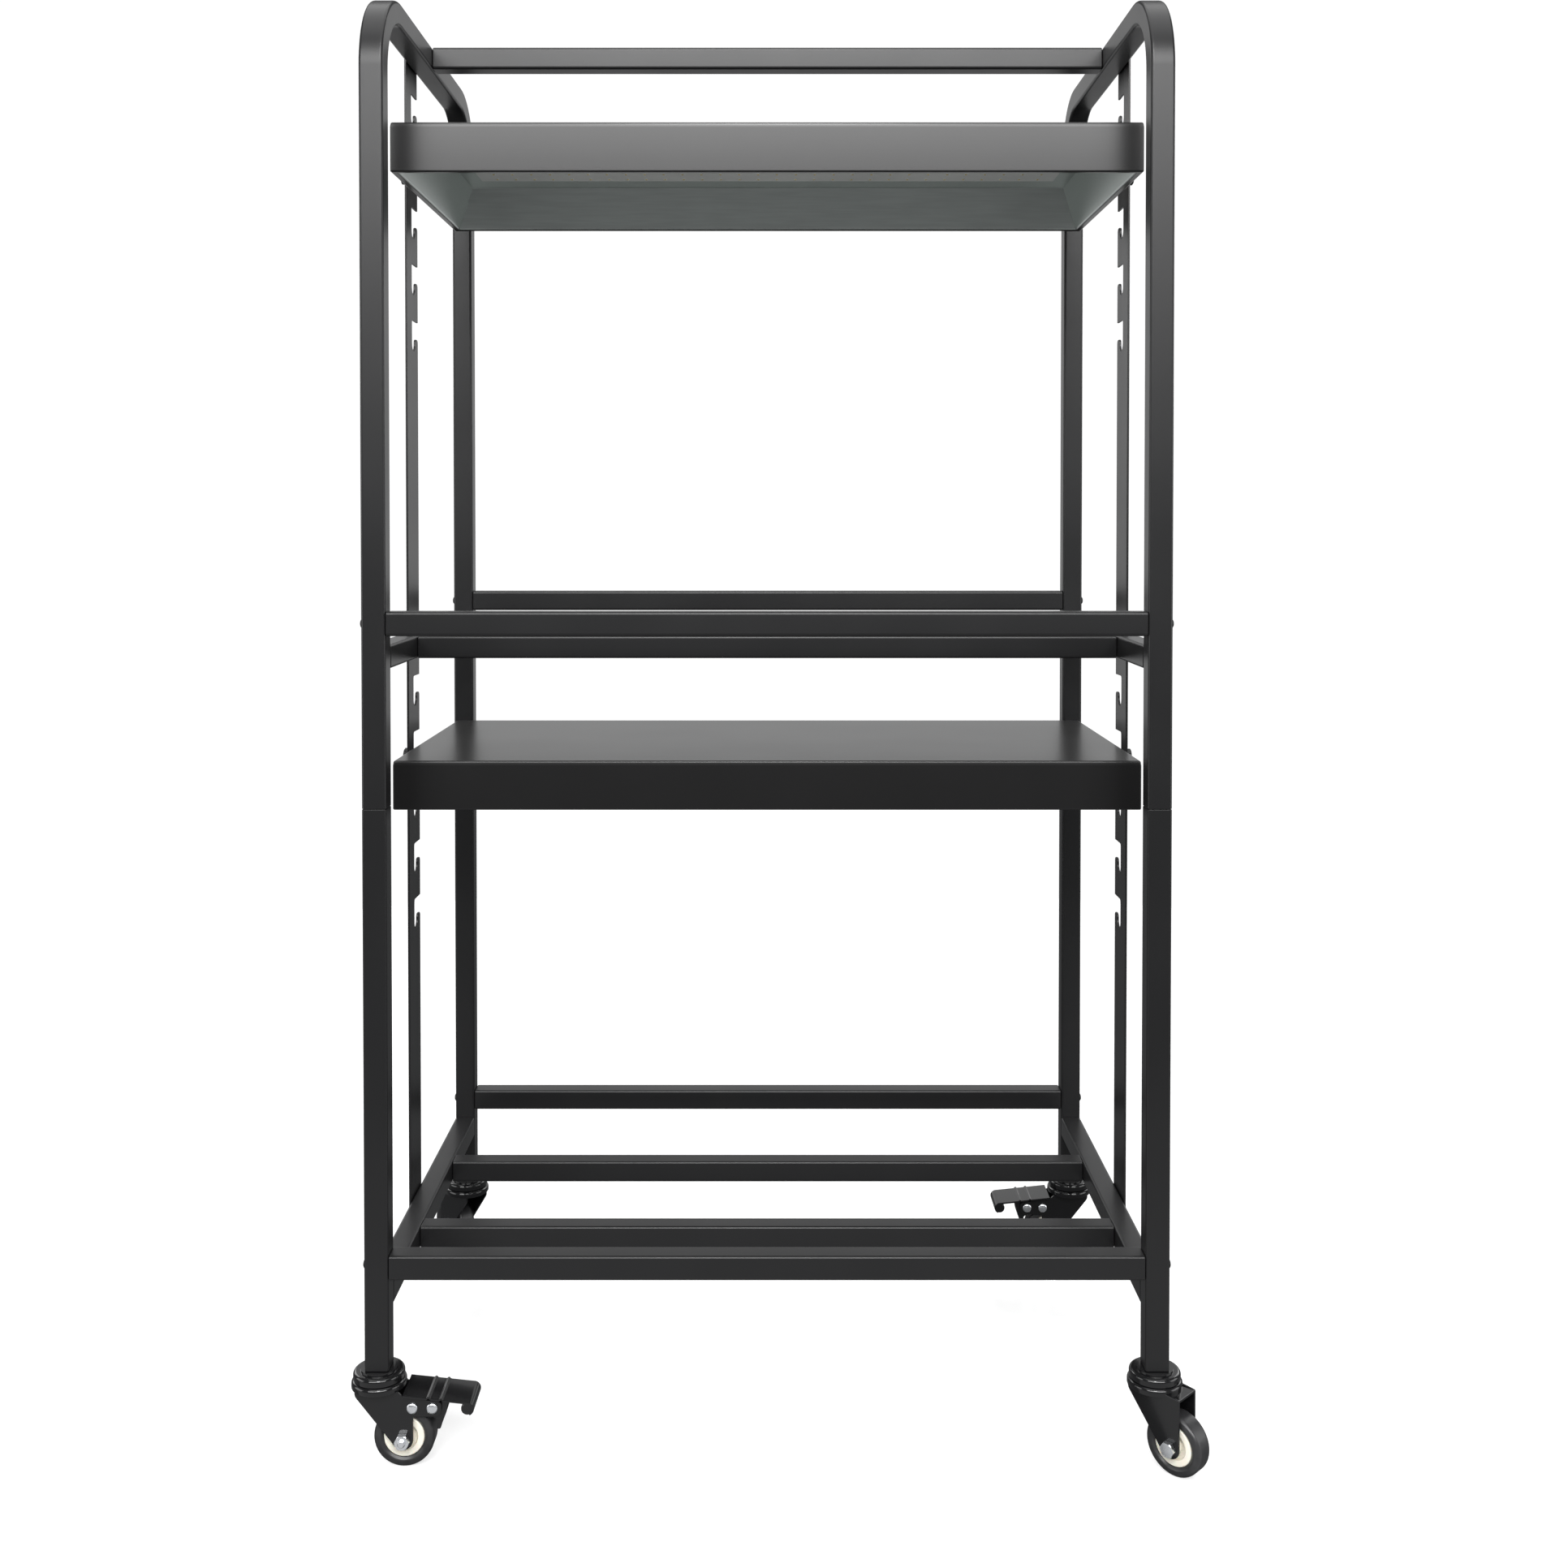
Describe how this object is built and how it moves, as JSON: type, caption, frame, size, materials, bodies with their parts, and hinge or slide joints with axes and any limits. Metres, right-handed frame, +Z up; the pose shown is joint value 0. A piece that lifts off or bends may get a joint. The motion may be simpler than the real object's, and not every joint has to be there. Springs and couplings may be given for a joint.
{
  "type": "plant stand with grow lights",
  "caption": "Tall tubular plant stand with open shelf frames, light hoods hung on notched side strips above them, and swivel casters with foot brakes.",
  "frame": {"origin": "on the floor, under the middle of the frame", "axes": "+Z up, +X to the right across the width, +Y to the rear; the front is the long side that the picture shows"},
  "size_m": [0.715, 0.462, 1.215],
  "materials": {
    "black_powder_coat": "satin black powder coat",
    "black_gloss_paint": "gloss black",
    "hood_paint": "semi-gloss black paint",
    "reflector_aluminium": "bright satin",
    "zinc_plate": "bright zinc plate",
    "tyre_rubber": "smooth grey-black",
    "cream_nylon": "cream, slightly glossy",
    "black_plastic": "black",
    "white_board": "white coating",
    "driver_shell": "plain"
  },
  "bodies": {
    "frame": {"hoop_left": "black_powder_coat", "hoop_right": "black_powder_coat", "lower_leg_front_left": "black_powder_coat", "lower_leg_front_right": "black_powder_coat", "lower_leg_rear_left": "black_powder_coat", "lower_leg_rear_right": "black_powder_coat", "top_cross_bar": "black_powder_coat", "shelf_lower_rail_front": "black_powder_coat", "shelf_lower_rail_rear": "black_powder_coat", "shelf_lower_cross_bar_front": "black_powder_coat", "shelf_lower_cross_bar_rear": "black_powder_coat", "shelf_lower_side_rail_left": "black_powder_coat", "shelf_lower_side_rail_right": "black_powder_coat", "shelf_upper_rail_front": "black_powder_coat", "shelf_upper_rail_rear": "black_powder_coat", "shelf_upper_cross_bar_front": "black_powder_coat", "shelf_upper_cross_bar_rear": "black_powder_coat", "shelf_upper_side_rail_left": "black_powder_coat", "shelf_upper_side_rail_right": "black_powder_coat", "notched_strip_left": "black_powder_coat", "notched_strip_right": "black_powder_coat", "caster_front_left_stem": "black_gloss_paint", "caster_front_right_stem": "black_gloss_paint", "caster_rear_right_stem": "black_gloss_paint", "caster_rear_left_stem": "black_gloss_paint"},
    "hood_lower_hangers": {"hood_lower_pivot_screw_left": "black_plastic", "hood_lower_pivot_screw_right": "black_plastic"},
    "hood_lower": {"hood_lower_housing": "hood_paint", "hood_lower_reflector": "reflector_aluminium", "hood_lower_light_board": "white_board", "hood_lower_driver": "driver_shell", "hood_lower_power_inlet": "black_plastic"},
    "hood_lower_switch": {"hood_lower_switch_rocker": "black_plastic"},
    "hood_upper_hangers": {"hood_upper_pivot_screw_left": "black_plastic", "hood_upper_pivot_screw_right": "black_plastic"},
    "hood_upper": {"hood_upper_housing": "hood_paint", "hood_upper_reflector": "reflector_aluminium", "hood_upper_light_board": "white_board", "hood_upper_driver": "driver_shell", "hood_upper_power_inlet": "black_plastic"},
    "hood_upper_switch": {"hood_upper_switch_rocker": "black_plastic"},
    "caster_front_left_swivel": {"caster_front_left_fork": "black_gloss_paint", "caster_front_left_axle": "zinc_plate"},
    "caster_front_left_wheel": {"caster_front_left_tyre": "tyre_rubber", "caster_front_left_hub": "cream_nylon"},
    "caster_front_left_brake": {"caster_front_left_brake_pedal": "black_gloss_paint"},
    "caster_front_right_swivel": {"caster_front_right_fork": "black_gloss_paint", "caster_front_right_axle": "zinc_plate"},
    "caster_front_right_wheel": {"caster_front_right_tyre": "tyre_rubber", "caster_front_right_hub": "cream_nylon"},
    "caster_rear_right_swivel": {"caster_rear_right_fork": "black_gloss_paint", "caster_rear_right_axle": "zinc_plate"},
    "caster_rear_right_wheel": {"caster_rear_right_tyre": "tyre_rubber", "caster_rear_right_hub": "cream_nylon"},
    "caster_rear_right_brake": {"caster_rear_right_brake_pedal": "black_gloss_paint"},
    "caster_rear_left_swivel": {"caster_rear_left_fork": "black_gloss_paint", "caster_rear_left_axle": "zinc_plate"},
    "caster_rear_left_wheel": {"caster_rear_left_tyre": "tyre_rubber", "caster_rear_left_hub": "cream_nylon"}
  },
  "joints": [
    {"name": "hood_lower_lift", "type": "slide", "parent": "frame", "child": "hood_lower_hangers", "axis": [0, 0, 1], "range_m": [0, 0.018]},
    {"name": "hood_lower_tilt", "type": "hinge", "parent": "hood_lower_hangers", "child": "hood_lower", "pos_m": [0, 0, 0.556], "axis": [1, 0, 0], "range_deg": [-25, 25]},
    {"name": "hood_lower_switch_rock", "type": "hinge", "parent": "hood_lower", "child": "hood_lower_switch", "pos_m": [0.24, 0.1422, 0.5635], "axis": [0, 0, -1], "range_deg": [0, 20]},
    {"name": "hood_upper_lift", "type": "slide", "parent": "frame", "child": "hood_upper_hangers", "axis": [0, 0, 1], "range_m": [0, 0.018]},
    {"name": "hood_upper_tilt", "type": "hinge", "parent": "hood_upper_hangers", "child": "hood_upper", "pos_m": [0, 0, 1.0975], "axis": [1, 0, 0], "range_deg": [-25, 25]},
    {"name": "hood_upper_switch_rock", "type": "hinge", "parent": "hood_upper", "child": "hood_upper_switch", "pos_m": [0.24, 0.1422, 1.105], "axis": [0, 0, -1], "range_deg": [0, 20]},
    {"name": "caster_front_left_swivel_turn", "type": "hinge", "parent": "frame", "child": "caster_front_left_swivel", "pos_m": [-0.32, -0.1935, 0.068], "axis": [0, 0, 1], "continuous": true},
    {"name": "caster_front_left_wheel_spin", "type": "hinge", "parent": "caster_front_left_swivel", "child": "caster_front_left_wheel", "pos_m": [-0.298, -0.1935, 0.025], "axis": [0, 1, 0], "continuous": true},
    {"name": "caster_front_left_brake_press", "type": "hinge", "parent": "caster_front_left_swivel", "child": "caster_front_left_brake", "pos_m": [-0.2737, -0.1935, 0.0515], "axis": [0, 1, 0], "range_deg": [0, 10]},
    {"name": "caster_front_right_swivel_turn", "type": "hinge", "parent": "frame", "child": "caster_front_right_swivel", "pos_m": [0.32, -0.1935, 0.068], "axis": [0, 0, 1], "continuous": true},
    {"name": "caster_front_right_wheel_spin", "type": "hinge", "parent": "caster_front_right_swivel", "child": "caster_front_right_wheel", "pos_m": [0.33556, -0.20906, 0.025], "axis": [0.7071, 0.7071, 0], "continuous": true},
    {"name": "caster_rear_right_swivel_turn", "type": "hinge", "parent": "frame", "child": "caster_rear_right_swivel", "pos_m": [0.32, 0.1935, 0.068], "axis": [0, 0, 1], "continuous": true},
    {"name": "caster_rear_right_wheel_spin", "type": "hinge", "parent": "caster_rear_right_swivel", "child": "caster_rear_right_wheel", "pos_m": [0.298, 0.1935, 0.025], "axis": [0, -1, 0], "continuous": true},
    {"name": "caster_rear_right_brake_press", "type": "hinge", "parent": "caster_rear_right_swivel", "child": "caster_rear_right_brake", "pos_m": [0.2737, 0.1935, 0.0515], "axis": [0, -1, 0], "range_deg": [0, 10]},
    {"name": "caster_rear_left_swivel_turn", "type": "hinge", "parent": "frame", "child": "caster_rear_left_swivel", "pos_m": [-0.32, 0.1935, 0.068], "axis": [0, 0, 1], "continuous": true},
    {"name": "caster_rear_left_wheel_spin", "type": "hinge", "parent": "caster_rear_left_swivel", "child": "caster_rear_left_wheel", "pos_m": [-0.33556, 0.20906, 0.025], "axis": [-0.7071, -0.7071, 0], "continuous": true}
  ]
}
